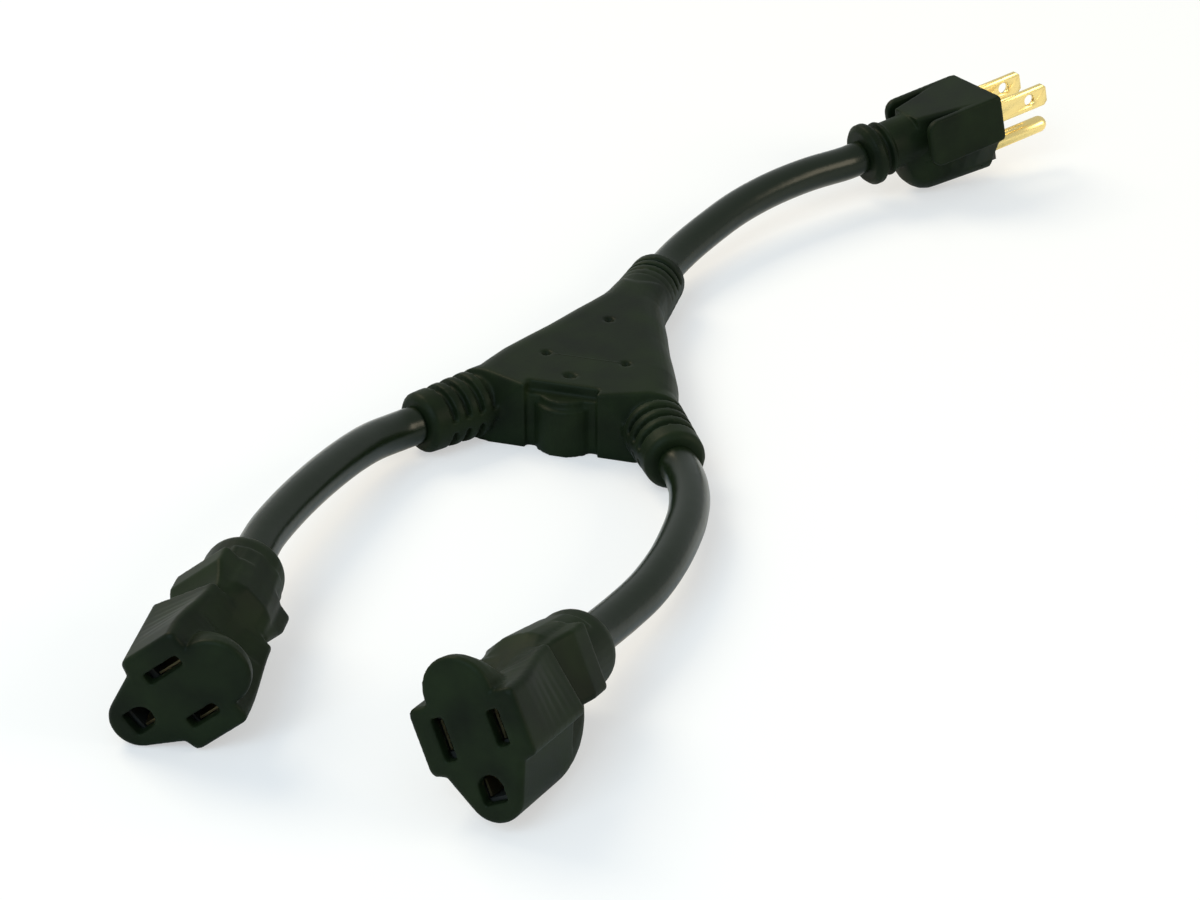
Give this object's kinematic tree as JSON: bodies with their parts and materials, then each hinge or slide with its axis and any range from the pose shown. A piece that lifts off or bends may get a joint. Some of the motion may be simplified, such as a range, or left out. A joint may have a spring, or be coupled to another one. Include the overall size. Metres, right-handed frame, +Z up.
{
  "type": "power cord splitter",
  "caption": "Short black grounded Y power cord splitter with a brass-bladed plug, a flat moulded junction with ribbed strain reliefs and in-line grounded sockets.",
  "frame": {"origin": "middle of the junction's flat underside, at the height of the table it rests on", "axes": "+Z up; +X along the junction towards the plug; +Y towards the left socket as seen from the socket end looking at the plug"},
  "size_m": [0.3665, 0.133, 0.0362],
  "materials": {
    "moulding": "satin moulded PVC",
    "cord_jacket": "semi-gloss PVC jacket",
    "carrier_plastic": "hard matte plastic",
    "blade_brass": "bright rolled brass",
    "contact_brass": "bright spring brass",
    "splice_metal": "tinned copper sleeve"
  },
  "bodies": {
    "root": {"junction_body": "moulding", "live_splice": "splice_metal", "ground_splice": "splice_metal", "neutral_splice": "splice_metal", "plug_body": "moulding", "blade_holder": "carrier_plastic", "live_blade": "blade_brass", "neutral_blade": "blade_brass", "ground_pin": "blade_brass", "left_socket_body": "moulding", "left_contact_carrier": "carrier_plastic", "left_neutral_contact": "contact_brass", "left_live_contact": "contact_brass", "left_ground_contact": "contact_brass", "right_socket_body": "moulding", "right_contact_carrier": "carrier_plastic", "right_neutral_contact": "contact_brass", "right_live_contact": "contact_brass", "right_ground_contact": "contact_brass", "inlet_cord": "cord_jacket", "left_cord": "cord_jacket", "right_cord": "cord_jacket"}
  },
  "joints": []
}
